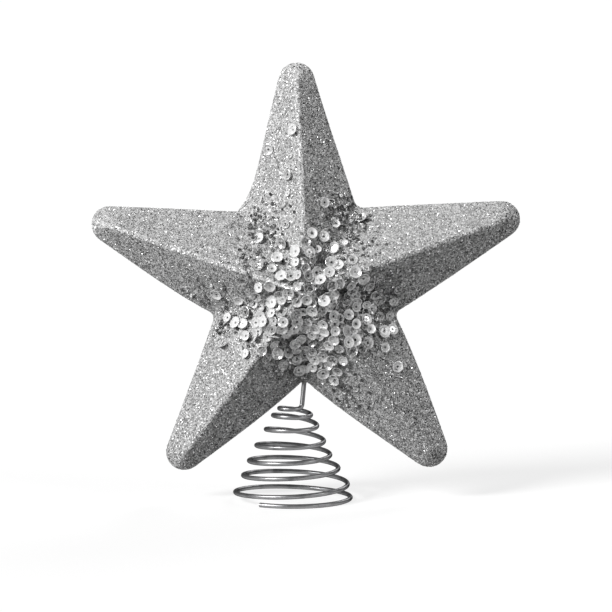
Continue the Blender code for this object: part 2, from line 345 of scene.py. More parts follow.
def settle(local):
    # the hand-made unevenness of the star: each tip moved by an ease along its arm, each valley by a bell about its
    # own ray, each arm's sides bowed by a skewed half wave, and the left side of the top arm pushed out by an amount
    # that fades up the arm as an exponential and down the star as a bell
    x, y = local[..., 0], local[..., 1]
    angle = np.arctan2(x, y)
    arm = np.round(angle / armPitch).astype(int)
    ray = arm * armPitch
    along = x * np.sin(ray) + y * np.cos(ray)
    across = x * np.cos(ray) - y * np.sin(ray)
    after = (across > 0).astype(int)
    arm = arm % star["arms"]
    moved = local.copy()
    moved[..., :2] += np.array(star["tipSet"])[arm] * easeBetween(along, star["tipFrom"], star["tipRadius"])[..., None]

    valley = (np.floor(angle / armPitch).astype(int)) % star["arms"]
    off = (angle / armPitch - np.floor(angle / armPitch) - 0.5) * 2
    bell = (1 - off ** 2) ** 2 * easeBetween(np.hypot(x, y), *star["valleyReach"])
    moved[..., :2] += np.array(star["valleySet"])[valley] * bell[..., None]

    start, end = star["sideReach"]
    way = np.clip((along - start) / (end - start), 0, 1)
    halfWidth = np.maximum((sharpTip - along) * math.tan(star["halfAngle"]), star["sideLeast"])
    rimward = np.clip(np.abs(across) / halfWidth, 0, 1)
    bulge = np.array(star["sideSet"])[arm, after] * np.sin(math.pi * way ** star["sideSkew"]) * rimward
    outward = ray + np.where(after, 1, -1) * sideTurn
    moved[..., 0] += bulge * np.sin(outward)
    moved[..., 1] += bulge * np.cos(outward)

    over = y - star["flareValley"]
    fadeUp, fadeDown = star["flareFades"]
    fade = np.exp(-np.maximum(over, 0) / fadeUp - (np.minimum(over, 0) / fadeDown) ** 2)
    spread = star["flare"] * fade * easeBetween(-x, *star["flareStarts"])
    moved[..., 0] -= spread * (1 - easeBetween(-x, *star["flareEnds"]))
    return moved


def starToWorld(local):
    # star axes (right, up, front) to the shared frame: front is -Y, then the lean about Y, then the centre
    c, s = math.cos(star["lean"]), math.sin(star["lean"])
    x, y, z = local[..., 0], local[..., 1], local[..., 2]
    return np.stack([x * c - y * s, -z, x * s + y * c], -1) + np.array(star["centre"])


def starInsets():
    # how far in from the outline each ring lies: close over the rounded rim, then even up the slope
    turn = np.linspace(0, math.pi / 2 - star["slope"], star["levelsRim"])
    rim = star["rimRounding"] * (1 - np.cos(turn))
    slope = np.linspace(rim[-1], sideDistance - star["lastRing"], star["levelsSlope"] + 1)[1:]
    return np.concatenate([rim, slope])


def ridgeHighlightShare(insets):
    # painted highlight on each ridge: 1 along its crest, easing to 0 with the distance round the tip arc of each ring
    turn = sideTurn * np.linspace(-1, 1, star["pointsTip"])
    perArm = star["pointsTip"] + star["pointsValley"] + 2 * star["pointsSide"]
    share = np.zeros((len(insets), perArm))
    share[:, :star["pointsTip"]] = 1 - easeBetween(tipRounding(insets)[:, None] * np.abs(turn), *star["ridgeHighlight"])
    return np.concatenate([share * strength for strength in star["ridgeHighlightArm"]], axis=1)


def starGrid(insets):
    # rings from the front pole over the rim to the rear pole, their heights waved by two crossed sines and a slanting
    # one
    flat = starSections(insets)
    height = np.broadcast_to(facetHeight(insets)[:, None], flat.shape[:2])
    front = np.concatenate([flat, height[..., None]], -1)
    rear = front * np.array([1, 1, -1])
    rings = np.concatenate([front[::-1], rear[1:]])
    x, y, z = rings[..., 0], rings[..., 1], rings[..., 2]
    swellRight, phaseRight, swellUp, phaseUp = star["swell"]
    strength, rippleRight, rippleUp = star["ripple"]
    wave = np.sin(x * swellRight + phaseRight) * np.sin(y * swellUp + phaseUp)
    wave = wave + strength * np.sin(x * rippleRight - y * rippleUp)
    rings[..., 2] += star["waviness"] * wave * np.sign(z) * (np.abs(z) > star["wavesFrom"])
    return settle(rings)


glitterCoat = {
    "coarse": 1750.0,             # flakes to the metre, in two sizes
    "fine": 2700.0,
    "coarseShare": 0.55,          # how much of a place's grey comes from each size
    "fineShare": 0.45,
    "patch": (55.0, 3.0),         # scale and detail of the broad patches where the coat is thicker
    "patchShare": 0.20,
    "paintedLightHeights": (0.10, 0.20),      # painted light: between these heights the coat grows paler by this much, darker towards the bottom
    "paintedLightShift": (-0.10, -0.005),
    # the painted highlight along the ridge crests: how sharply it narrows, and how much paler it makes the coat
    "ridgeHighlightPower": 5.0,
    "ridgeHighlightGain": 0.20,
    "greys": [(0.12, 0.12), (0.36, 0.38), (0.58, 0.66), (0.84, 1.0)],
    "sides": (-0.15, 0.45),       # from the facets that face left to those that face right, the flakes stand steeper
    "steepness": (1.35, 2.4),
    "evenTilt": (0.5, 0.5, 0.5),  # the random colour that leaves a flake flat
    "roughness": (0.22, 0.5),
    "metallic": 0.06,
}


def glitterMaterial():
    # silver glitter: two sizes of flake as Voronoi cells, each cell with its own grey and its own tilt
    made, tree, shader = newMaterial("silver_glitter")
    place = placeNode(tree)
    coarse = cellNode(tree, place, glitterCoat["coarse"])
    fineRandom = channelsOf(tree, cellNode(tree, place, glitterCoat["fine"]))
    coarseRandom = channelsOf(tree, coarse)
    level = mathNode(tree, "MULTIPLY", fineRandom["Green"], glitterCoat["fineShare"])
    level = mathNode(tree, "MULTIPLY_ADD", coarseRandom["Red"], glitterCoat["coarseShare"], level)
    patch = mathNode(tree, "MULTIPLY", noiseNode(tree, place, *glitterCoat["patch"]), glitterCoat["patchShare"])
    level = mathNode(tree, "ADD", level, patch)
    height = addNode(tree, "ShaderNodeSeparateXYZ", {0: place}).outputs["Z"]
    # painted light: the coat made darker towards the bottom of the star
    level = mathNode(tree, "ADD", level, mapNode(tree, height, *glitterCoat["paintedLightShift"], *glitterCoat["paintedLightHeights"]))
    # painted highlight: the coat made paler along the crest of each ridge
    ridgeHighlight = mathNode(tree, "POWER", attributeNode(tree, "ridgeHighlight"), glitterCoat["ridgeHighlightPower"])
    level = mathNode(tree, "MULTIPLY_ADD", ridgeHighlight, glitterCoat["ridgeHighlightGain"], level)
    normal = addNode(tree, "ShaderNodeNewGeometry").outputs["Normal"]
    side = addNode(tree, "ShaderNodeSeparateXYZ", {0: normal}).outputs["X"]
    steep = mapNode(tree, side, *glitterCoat["steepness"], *glitterCoat["sides"])
    away = vectorNode(tree, "SUBTRACT", {0: coarse, 1: glitterCoat["evenTilt"]})
    away = vectorNode(tree, "SCALE", {0: away, "Scale": steep})
    facing = vectorNode(tree, "NORMALIZE", {0: vectorNode(tree, "ADD", {0: normal, 1: away})})
    setInputs(tree, shader, {
        "Base Color": rampNode(tree, level, glitterCoat["greys"]), "Normal": facing,
        "Roughness": mapNode(tree, fineRandom["Blue"], *glitterCoat["roughness"]), "Metallic": glitterCoat["metallic"]})
    return made


insets = starInsets()
rings = starGrid(insets)
ringCount, pointCount = rings.shape[:2]
poleHeight = facetHeight(np.array(sideDistance - star["pole"]))
poles = np.array([[0, 0, poleHeight], [0, 0, -poleHeight]])
starVerts = starToWorld(np.concatenate([rings.reshape(-1, 3), poles]))
around = np.arange(pointCount)
frontPole = fanFaces(ringCount * pointCount, around, flipped=True)
rearPole = fanFaces(ringCount * pointCount + 1, (ringCount - 1) * pointCount + around)
starQuads = gridFaces(ringCount, pointCount, True)
starBody = newPiece("glitter_star_body", starVerts, [starQuads, frontPole, rearPole], glitterMaterial())
# where the painted highlight along the ridges lies, stored on the star's points
onRidgeHighlight = ridgeHighlightShare(np.concatenate([insets[::-1], insets[1:]]))
ridgeHighlight = starBody.data.attributes.new("ridgeHighlight", "FLOAT", "POINT")
ridgeHighlight.data.foreach_set("value", np.append(onRidgeHighlight, [1, 1]).astype(np.float32))
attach(starBody, "star")
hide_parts("star_body")
print("star body:", len(starBody.data.polygons), "faces")


# Loose coarse flakes of glitter standing on the surface

flakes = {
    "count": 30000,
    "sides": 6,
    "size": (0.00016, 0.00029),  # half width
    "tilt": 0.85,
    "lift": 0.00006,
    "seed": 11,
    "greys": [(0.0, 0.22), (0.5, 0.58), (0.85, 0.92), (1.0, 1.0)],
    "roughness": 0.28,
    "metallic": 0.55,
}


def randomOnGrid(rng, grid, quads, count):
    # points and normals spread evenly by area over the quads of a grid
    a, b, c, d = (grid[quads[:, i]] for i in range(4))
    area = np.linalg.norm(np.cross(c - a, d - b), axis=1)
    pick = rng.choice(len(quads), count, p=area / area.sum())
    u, v = rng.random((count, 1)), rng.random((count, 1))
    place = (a[pick] * (1 - u) + b[pick] * u) * (1 - v) + (d[pick] * (1 - u) + c[pick] * u) * v
    return place, unit(np.cross(c[pick] - a[pick], d[pick] - b[pick]))


def sideAxes(rng, normal):
    # two axes across each normal, turned by a random angle about it; a normal that is nearly along Y starts from X
    nearlyAlong = 0.9
    helper = np.where(np.abs(normal[:, 1:2]) < nearlyAlong, np.array([[0, 1.0, 0]]), np.array([[1.0, 0, 0]]))
    first = unit(np.cross(normal, helper))
    second = np.cross(normal, first)
    angle = rng.random((len(normal), 1)) * 2 * math.pi
    return first * np.cos(angle) + second * np.sin(angle), second * np.cos(angle) - first * np.sin(angle)


def flakeMaterial():
    # bright cut-foil flakes, each its own grey by the tone attribute
    made, tree, shader = newMaterial("glitter_flakes")
    setInputs(tree, shader, {
        "Base Color": rampNode(tree, attributeNode(tree, "tone"), flakes["greys"]),
        "Roughness": flakes["roughness"], "Metallic": flakes["metallic"]})
    return made


rng = np.random.default_rng(flakes["seed"])
flakePlace, flakeNormal = randomOnGrid(rng, starVerts, starQuads, flakes["count"])
flakeNormal = unit(flakeNormal + rng.normal(0, flakes["tilt"] / 2, flakeNormal.shape))
flakeAcross, flakeAlong = sideAxes(rng, flakeNormal)
flakeHalf = rng.uniform(*flakes["size"], (flakes["count"], 1, 1))
hexagon = unitRing(flakes["sides"])
flakeVerts = flakePlace[:, None] + flakeNormal[:, None] * flakes["lift"] + flakeHalf * (
    flakeAcross[:, None] * hexagon[None, :, :1] + flakeAlong[:, None] * hexagon[None, :, 1:])
flakeFaces = np.arange(flakes["count"] * flakes["sides"]).reshape(-1, flakes["sides"])
flakePiece = newPiece("glitter_flakes", flakeVerts, [flakeFaces], flakeMaterial(), smooth=False)
setTone(flakePiece, rng.random(flakes["count"]), flakes["sides"])
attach(flakePiece, "star")
print("glitter flakes:", flakes["count"])


# Cup sequins glued over the middle of the front

sequins = {
    "seed": 23,
    "diameter": (0.0044, 0.0062),
    "smallShare": 0.68,    # of that, for the small white ones
    "hole": 0.00054,       # radius
    "flat": 0.56,          # share of the radius that is the flat floor of the cup
    "lip": 0.93,           # share of the radius where the rolled lip begins
    "depth": 0.00070,
    "thickness": 0.00016,
    "holeShadowLevel": 0.1,      # how far up the thickness the disc with the painted shadow in the hole and the outer edge of the lip lie
    "edgeLevel": 0.4,
    # how much paler or darker than the floor are the painted shadow in the hole, the painted shade at the hole's edge,
    # the floor, the lip and its edge with their painted highlight, the underside
    "tones": (-1.0, -0.04, 0.0, 0.24, 0.36, 0.0),
    # the white and ringed ones: pale foil, made paler still as a painted highlight
    "whiteWithHighlightTone": 0.92,
    "greyTone": 0.16,      # the darkest of the others, and how much paler they may be
    "greyRange": 0.48,
    "whiteHoleShadow": 0.6,      # how dark the painted shadow in the hole of a white one is at least, and how much darker a ringed one's is
    "ringedHoleDarker": 20,
    "sides": 12,
    "spacing": 0.0027,
    "margin": 0.0032,      # how far inside the outline a strewn one lies
    "gather": 0.7,         # share of a group's spread that is used
    "tilt": 0.11,
    "looseShare": 0.30,    # sequins that caught the glue crooked
    "looseTilt": 0.40,
    "placedTilt": 0.6,     # share of that for the listed ones
    "lift": (0.00015, 0.0016),
    "placedLift": 0.0007,  # the listed ones lie on top
    "middle": (0, -14),    # they lie over each other about this place, and flat on the star beyond this reach
    "reach": 34,
    "reachPower": 4,
    "turnToLight": 0.75,   # how far a white one faces the light
    # places in millimetres right of and above the star's centre, as the photo's camera sees them
    "white": [(-21.5, 22), (-13, 12.5), (-3.5, 16), (-3.5, 11), (13.5, 17.5), (16, 9), (8, -7.5), (-36, -15),
              (-32, -17.5), (-28.5, -18), (-27, -23.5), (-14.5, -7.5), (-27.5, -32), (-23, -8),
              (-18.5, -17), (-14.5, -13), (-11, 4), (-21, 0), (30.5, -20.5), (-5.5, 73)],
    "whiteSmall": [(14.5, 29), (5.5, 17), (11, -11), (19, 20), (-8, 43)],
    "ringed": [(5, 6), (7.5, 2), (23, -18), (9, 39), (3, 24.5)],
    "plain": [(-21.5, 9), (-29, 3), (-15.5, 7.5), (-16, 0.5), (-9.5, -6.5), (8.5, 23), (2.5, 12.5), (11.5, 6),
              (1, 4.5), (12.5, 0.5), (13, -3.5), (-2.5, 0), (-7, -2.5), (4, -11), (-21.5, -21.5), (-27, -12.5),
              (-18, -6.5), (-10, -16.5), (-5, -12.5), (-14.5, -20.5), (0.5, -19), (-20, -30), (-5, -26.5),
              (0, -38.5), (-18.5, -33.5), (9, -17.5), (15.5, -15.5), (14, -21), (12, -27), (16.5, -29), (9, -40.5),
              (23, -25.5), (37, -21.5), (39.5, -14), (41, -20.5), (37.5, -29), (43.5, -38), (31, -10.5), (28.5, -8),
              (33, -3.5), (23, -4), (30, 0), (41.5, -7), (43.5, -1.5), (23.5, -10), (21, 1), (13.5, -34),
              (18.5, -34.5), (5, -34), (-17, 64), (-9, 29), (-10, 20), (-8, 52), (26.5, 31.5)],
    # centre right, centre up, spread, number of the many that fill in round those
    "groups": [(2, -14, 15, 130), (15, -20, 12, 70), (-17, -15, 12, 70), (4, -31, 11, 50), (6, 12, 9, 12),
               (26, -13, 10, 20)],
}
sequinFoil = {
    "streak": (900.0, 4.0, 0.6),   # scale, detail and roughness of the scuffs, and how much darker or paler they are
    "streakShade": (-0.08, 0.08),
    "bump": (0.2, 0.0002),     # strength and distance
    "speckle": (-0.26, 0.22),  # the glitter seen through a clear sequin, darkest and palest
    "clear": (0.66, 0.86),     # the speckle fades out between these tones
    "greys": [(0.0, 0.05), (0.3, 0.50), (0.6, 0.80), (1.0, 1.0)],
    "roughness": (0.14, 0.34),
    "metallic": 0.26,
}
starTree = BVHTree.FromPolygons(starVerts.tolist(), starQuads.tolist() + frontPole.tolist())


def insideBy(place):
    # how far each point lies inside an even outline: its distance behind the side line of the nearest arm
    right, up = place[:, 0] - star["centre"][0], place[:, 2] - star["centre"][2]
    angle = np.arctan2(right, up) + star["lean"]
    arm = np.round(angle / armPitch) * armPitch
    across = arm - star["lean"] + np.where(angle >= arm, 1.0, -1.0) * sideTurn
    return sideDistance - right * np.sin(across) - up * np.cos(across)


def ontoFront(seen):
    # the star's surface and normal where the camera sees each place, met by parallel rays from the camera's side
    start = np.array(star["centre"]) + towardsEye + (eyeRight * seen[:, :1] + eyeUp * seen[:, 1:]) * millimetre
    hits = [starTree.ray_cast(Vector(point), Vector(-towardsEye)) for point in start]
    found = np.array([hit[0] is not None for hit in hits])
    place = np.array([hit[0][:] for hit in hits if hit[0]])
    normal = np.array([hit[1][:] for hit in hits if hit[0]])
    return place, normal * np.where(normal[:, 1:2] > 0, -1, 1), found


def scatterSequins(rng):
    # the placed ones, then darts thrown in groups: a dart stays if it is well inside and clear of the others
    placed = np.array(sequins["white"] + sequins["whiteSmall"] + sequins["ringed"] + sequins["plain"], float)
    darts = strew(rng, sequins["groups"], sequins["gather"])
    place, _, found = ontoFront(darts)
    spacing = sequins["spacing"] * millimetresPerMetre
    kept = list(placed)
    for dart, room in zip(darts[found], insideBy(place)):
        if room > sequins["margin"] and np.min(np.hypot(*(np.array(kept) - dart).T)) > spacing:
            kept.append(dart)
    return np.array(kept)


def cupProfile():
    # (radius, height, tone) up the cut of one sequin of radius 1: a disc in its hole carrying a painted shadow, the
    # hole's edge with a little painted shade, the flat floor, the flared side, the lip and its edge with a painted
    # highlight, the underside
    size = sum(sequins["diameter"]) / 4
    thick, hole, depth = (sequins[key] / size for key in ("thickness", "hole", "depth"))
    flat, lip = sequins["flat"], sequins["lip"]
    radius = (hole, hole, flat, lip, 1.0, flat)
    height = (thick * sequins["holeShadowLevel"], thick, thick, depth + thick, depth + thick * sequins["edgeLevel"], 0.0)
    return np.stack([radius, height, sequins["tones"]], -1)


def repeatTurned(profile, sides, scale, place, normal, across, along, closed):
    # a profile turned about each normal: the ring angle goes across and along, the height along the normal; the
    # profile is a closed loop, or else its two ends are capped
    ring = unitRing(sides)
    radial = across[:, None] * ring[None, :, :1] + along[:, None] * ring[None, :, 1:]
    local = radial[:, None] * profile[None, :, None, :1] + normal[:, None, None] * profile[None, :, None, 1:2]
    verts = place[:, None, None] + local * scale[:, None, None, None]
    rows = len(profile)
    row, column = np.meshgrid(np.arange(rows if closed else rows - 1), np.arange(sides), indexing="ij")
    here, below, after = row * sides, (row + 1) % rows * sides, (column + 1) % sides
    quad = np.stack([here + column, here + after, below + after, below + column], -1)
    first = (np.arange(len(place)) * rows * sides)[:, None, None]
    faces = [(quad.reshape(1, -1, 4)[..., ::-1] + first).reshape(-1, 4)]
    if not closed:
        around = np.arange(sides)
        faces += [around + first[:, 0], (rows - 1) * sides + around[::-1] + first[:, 0]]
    return verts.reshape(-1, 3), faces


def sequinMaterial():
    # silver foil sequins: each its own grey, faintly streaked and scuffed, the darker ones speckled as clear ones are
    # by the glitter under them
    made, tree, shader = newMaterial("sequin_foil")
    tone, place = attributeNode(tree, "tone"), placeNode(tree)
    streak = noiseNode(tree, place, *sequinFoil["streak"])
    level = mathNode(tree, "ADD", tone, mapNode(tree, streak, *sequinFoil["streakShade"]))
    under = channelsOf(tree, cellNode(tree, place, glitterCoat["coarse"]))["Red"]
    speckle = mapNode(tree, under, *sequinFoil["speckle"])
    clear = mapNode(tree, tone, 1.0, 0.0, *sequinFoil["clear"])
    level = mathNode(tree, "MULTIPLY_ADD", speckle, clear, level)
    setInputs(tree, shader, {
        "Base Color": rampNode(tree, level, sequinFoil["greys"]),
        "Roughness": mapNode(tree, streak, *sequinFoil["roughness"]),
        "Normal": bumpNode(tree, streak, *sequinFoil["bump"]), "Metallic": sequinFoil["metallic"]})
    return made


rng = np.random.default_rng(sequins["seed"])
sequinSeen = scatterSequins(rng)
sequinPlace, sequinNormal, _ = ontoFront(sequinSeen)
sequinCount = len(sequinPlace)
order = np.arange(sequinCount)[:, None]
whole, small, ringed, plain = np.cumsum([len(sequins[key]) for key in ("white", "whiteSmall", "ringed", "plain")])
isWhite, isSmall = order < small, (order >= whole) & (order < small)
isRinged, isPlaced = (order >= small) & (order < ringed), order < plain
offMiddle = np.hypot(*(sequinSeen - np.array(sequins["middle"])).T)
crowded = np.exp(-(offMiddle / sequins["reach"]) ** sequins["reachPower"])[:, None]
raised = rng.uniform(0, 1, (sequinCount, 1)) * np.ptp(sequins["lift"]) + sequins["placedLift"] * isPlaced
sequinPlace = sequinPlace + sequinNormal * (raised * crowded + sequins["lift"][0])
isLoose = rng.random((sequinCount, 1)) < sequins["looseShare"]
looseTilt = sequins["looseTilt"] * np.where(isPlaced, sequins["placedTilt"], 1.0)
crooked = np.where(isLoose, looseTilt, sequins["tilt"])
lightward = unit(np.array(studio["keyFrom"])) * sequins["turnToLight"] * isWhite
sequinNormal = unit(sequinNormal + lightward + rng.normal(0, 1, (sequinCount, 3)) * crooked)
sequinAcross, sequinAlong = sideAxes(rng, sequinNormal)
sequinScale = rng.uniform(*sequins["diameter"], sequinCount) / 2 * np.where(isSmall[:, 0], sequins["smallShare"], 1.0)
cup = cupProfile()
sequinVerts, sequinFaces = repeatTurned(
    cup, sequins["sides"], sequinScale, sequinPlace, sequinNormal, sequinAcross, sequinAlong, False)
sequinPiece = newPiece("cup_sequins", sequinVerts, sequinFaces, sequinMaterial(), smooth=False)
# painted shadow in each sequin's hole, of random depth: at least this dark on a white one, and on a ringed one spread
# over the hole's edge as a dark ring
holeShadow = rng.random((sequinCount, 1))
whiteHoleDarkness = sequins["whiteHoleShadow"] + (1 - sequins["whiteHoleShadow"]) * holeShadow
holeShadow = np.where(isWhite, whiteHoleDarkness, holeShadow) * np.where(isRinged, sequins["ringedHoleDarker"], 1)
otherGrey = sequins["greyTone"] + sequins["greyRange"] * rng.random((sequinCount, 1))
# white and ringed ones take the pale tone with its painted highlight, the others a random grey
sequinGrey = np.where(isWhite | isRinged, sequins["whiteWithHighlightTone"], otherGrey)
# each sequin's grey, with the painted shadow in and round its hole and the painted highlight on its lip
sequinTone = sequinGrey + cup[:, 2] * np.where(cup[:, 2] < 0, holeShadow, 1)
setTone(sequinPiece, sequinTone.ravel(), sequins["sides"])
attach(sequinPiece, "star")
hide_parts(*[name for name in frame["nodes"] if name.startswith("sequin_")])
print("sequins:", sequinCount)


# Seed beads in clusters between the sequins and in the valleys

beads = {
    "seed": 5,
    "ring": 0.00058,      # radius of the bead's round centre line
    "body": 0.00031,      # radius of its section
    "sizes": (0.75, 1.1),
    "ringSides": 9,
    "bodySides": 5,
    "tilt": 0.5,
    "gather": 0.6,        # share of a cluster's spread that is used
    "margin": 0.0015,     # how far inside the outline a bead lies
    "brightShare": 0.22,  # silver-lined ones among the dark ones
    "darkRange": 0.5,     # tone of the palest dark one
    "cloud": (700.0, 2.0),  # scale and detail
    "toneShare": 0.7,
    "greys": [(0.30, 0.02), (0.55, 0.09), (0.8, 0.30), (0.95, 0.95)],
    "roughness": 0.16,
    "metallic": 0.2,
    # millimetres right and up as the camera sees them, spread, number
    "clusters": [(-20, 34, 9, 64), (-26, 14, 9, 46), (-14, 22, 8, 34), (-50, -7, 9, 44), (15, 33, 9, 56),
                 (21, 22, 9, 44), (31, -6, 14, 150), (19, -7, 9, 90), (19, -54, 10, 50), (-2, -30, 12, 80),
                 (-38, -14, 8, 38), (0, -5, 24, 300), (-41, -20, 5, 34), (20, 37, 6, 50), (24, 28, 6, 40),
                 (12, 14, 8, 60)],
}


def beadMaterial():
    # dark glass beads with a clouded body, a few of them silver-lined
    made, tree, shader = newMaterial("seed_beads")
    cloud = noiseNode(tree, placeNode(tree), *beads["cloud"])
    level = mathNode(tree, "MULTIPLY_ADD", attributeNode(tree, "tone"), beads["toneShare"], cloud)
    setInputs(tree, shader, {
        "Base Color": rampNode(tree, level, beads["greys"]),
        "Roughness": beads["roughness"], "Metallic": beads["metallic"]})
    return made


rng = np.random.default_rng(beads["seed"])
beadPlace, beadNormal, _ = ontoFront(strew(rng, beads["clusters"], beads["gather"]))
within = insideBy(beadPlace) > beads["margin"]
beadPlace, beadNormal = beadPlace[within], beadNormal[within]
beadCount = len(beadPlace)
beadPlace = beadPlace + beadNormal * beads["body"]
beadNormal = unit(beadNormal + rng.normal(0, beads["tilt"], (beadCount, 3)))
beadAcross, beadAlong = sideAxes(rng, beadNormal)
section = -roundAngles(beads["bodySides"])
beadProfile = np.stack([beads["ring"] + beads["body"] * np.cos(section), beads["body"] * np.sin(section)], -1)
beadScale = rng.uniform(*beads["sizes"], beadCount)
beadVerts, beadFaces = repeatTurned(
    beadProfile, beads["ringSides"], beadScale, beadPlace, beadNormal, beadAcross, beadAlong, True)
beadPiece = newPiece("seed_beads", beadVerts, beadFaces, beadMaterial())
isBright = rng.random(beadCount) < beads["brightShare"]
beadTone = np.where(isBright, 1.0, beads["darkRange"] * rng.random(beadCount))
setTone(beadPiece, beadTone, beads["bodySides"] * beads["ringSides"])
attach(beadPiece, "star")
print("beads:", beadCount)


# Spring of round steel wire

spring = {
    "wire": 0.0011,         # radius
    "axisX": -0.0052,
    "startRadius": 0.0043,
    "neckRadius": 0.0066,
    "footRadius": 0.0273,
    "startTurn": 0.16,
    "neckTurn": 0.5,
    "widestTurn": 6.5,
    "endTurn": 7.342,
    "neckPitch": 0.0036,
    "pitch": 0.0073,
    "opening": (1.15, 2.15),
    "levelling": (6.77, 6.87),
    "neckTilt": math.radians(5.2),
    "tiltFades": (1.5, 5.0),
    "swayTurn": 2.75,
    "nodTurn": 4.0,
    "bottomValley": (0.00019, 0.0, 0.05679),
    # how the hand-wound turns stray from an even cone: aside, wider and up at these turns
    "strayTurns": (0.1, 1.25, 2.25, 3.25, 4.25, 5.25, 6.25, 6.9),
    "strayAside": (0.0, 0.0004, 0.0003, -0.0004, -0.0009, 0.0, 0.0003, 0.0),
    "strayWider": (0.0, -0.0002, -0.0008, -0.0002, -0.0003, -0.0004, 0.0003, 0.0),
    "strayUp": (0.0, 0.0002, 0.0001, -0.0001, 0.0003, 0.0010, 0.0003, 0.0),
    "stemLength": 0.0426,
    "bendRadius": 0.0022,
    "headingTurns": 0.01,   # the bend ends along the coil's direction over this share of a turn
    "joinTurns": 0.02,      # the coil's points go on this far after the bend
    "stemSteps": 30,
    "bendSteps": 15,
    "stepsPerTurn": 56,
    "sumSteps": 6001,       # steps in which the pitch is summed
    "sides": 16,
    "sideStart": (0.03, 1.0, 0.25),  # the first ring of a tube is turned square to this
}
wireSteel = {
    "streak": (2.0, 60.0, 1.0),  # drawing marks, long along the wire and fine round it, then their scale and detail
    "streakNoise": (1.0, 3.0),
    "mottle": (160.0, 3.0),
    "bump": (0.2, 0.0001),       # strength and distance
    "colours": [(0.75, (0.145, 0.145, 0.148)), (1.0, (0.33, 0.33, 0.335))],
    "roughness": (0.33, 0.43),
    "metallic": 0.92,
    "edgeTint": (0.04, 0.04, 0.04, 1),
}


def coilPoints(turn):
    # the wire's centre line: a clockwise cone, its pitch opening below the neck and closing flat on the foot
    fine = np.linspace(0, spring["endTurn"], spring["sumSteps"])
    pitch = spring["neckPitch"] + (spring["pitch"] - spring["neckPitch"]) * easeBetween(fine, *spring["opening"])
    pitch = pitch * (1 - easeBetween(fine, *spring["levelling"]))
    fallen = np.concatenate([[0], np.cumsum((pitch[1:] + pitch[:-1]) / 2 * np.diff(fine))])
    height = spring["wire"] + fallen[-1] - np.interp(turn, fine, fallen)
    opened = easeBetween(turn, 0, spring["neckTurn"])
    neck = spring["startRadius"] + (spring["neckRadius"] - spring["startRadius"]) * opened
    widening = np.clip((turn - spring["neckTurn"]) / (spring["widestTurn"] - spring["neckTurn"]), 0, 1)
    aside, wider, up = (np.interp(turn, spring["strayTurns"], spring[key])
                        for key in ("strayAside", "strayWider", "strayUp"))
    radius = neck + (spring["footRadius"] - spring["neckRadius"]) * widening + wider
    across, along = radius * np.cos(-2 * math.pi * turn), radius * np.sin(-2 * math.pi * turn)
    droop = math.tan(spring["neckTilt"]) * across * (1 - easeBetween(turn, *spring["tiltFades"]))
    return np.stack([spring["axisX"] + aside + across, along, height + up - droop], -1)


def turnsBetween(start, end):
    # turns spread evenly from start to end, at least so many to each turn
    return np.linspace(start, end, int(math.ceil((end - start) * spring["stepsPerTurn"])) + 1)


def stemPath():
    # from inside the star straight down to a tight round bend, a quadratic curve, then into the first small turn
    first, second = coilPoints(spring["startTurn"] + np.array([0.0, spring["headingTurns"]]))
    corner = first - unit(second - first) * spring["bendRadius"]
    direction = unit(np.array(spring["bottomValley"]) - corner)
    top = corner + direction * spring["stemLength"]
    after = corner + direction * spring["bendRadius"]
    t = np.linspace(0, 1, spring["bendSteps"])[:, None]
    bend = after * (1 - t) ** 2 + corner * 2 * t * (1 - t) + first * t * t
    straight = top + (after - top) * np.linspace(0, 1, spring["stemSteps"])[:, None]
    return np.concatenate([straight[:-1], bend])


def frameAlong(path):
    # side directions carried along the path with as little turning as possible: each is the one before it, less the
    # part that lies along the path
    tangent = unit(np.gradient(path, axis=0))
    side = np.zeros_like(path)
    side[0] = unit(np.cross(tangent[0], np.array(spring["sideStart"])))
    for i in range(1, len(path)):
        carried = side[i - 1] - tangent[i] * (side[i - 1] @ tangent[i])
        side[i] = unit(carried)
    return tangent, side


def tubeAlong(path, radius, sides):
    # a round section carried along a path, each ring square to it and turned as little as possible
    tangent, side = frameAlong(path)
    up = np.cross(side, tangent)
    angle = roundAngles(sides)
    ring = side[:, None] * np.cos(angle)[None, :, None] + up[:, None] * np.sin(angle)[None, :, None]
    return path[:, None] + ring * radius


def wirePiece(name, path, material):
    # a tube with flat cut ends; UV runs along the wire in centimetres and once there and back round it
    tube = tubeAlong(path, spring["wire"], spring["sides"])
    rows, sides = tube.shape[:2]
    lastRow = (rows - 1) * sides
    verts = np.concatenate([tube.reshape(-1, 3), path[:1], path[-1:]])
    around = np.arange(sides)
    first = fanFaces(rows * sides, around, flipped=True)
    last = fanFaces(rows * sides + 1, lastRow + around)
    piece = newPiece(name, verts, [gridFaces(rows, sides, True), first, last], material)
    mesh = piece.data
    index = np.zeros(len(mesh.loops), np.int32)
    mesh.loops.foreach_get("vertex_index", index)
    steps = np.linalg.norm(np.diff(path, axis=0), axis=1)
    length = np.concatenate([[0], np.cumsum(steps)]) * centimetresPerMetre
    alongUv = np.concatenate([np.repeat(length, sides), [0, length[-1]]])
    turnUv = np.concatenate([np.tile(0.5 - 0.5 * np.cos(roundAngles(sides)), rows), [0.5, 0.5]])
    uv = mesh.uv_layers.new(name="UVMap")
    uv.data.foreach_set("uv", np.stack([alongUv[index], turnUv[index]], -1).ravel())
    edges = np.zeros(len(mesh.edges) * 2, np.int32)
    mesh.edges.foreach_get("vertices", edges)
    edges = edges.reshape(-1, 2)
    ends = (edges < sides).all(1) | ((edges >= lastRow).all(1) & (edges < rows * sides).all(1))
    sharp = mesh.attributes.new("sharp_edge", "BOOLEAN", "EDGE")
    sharp.data.foreach_set("value", ends)
    return piece


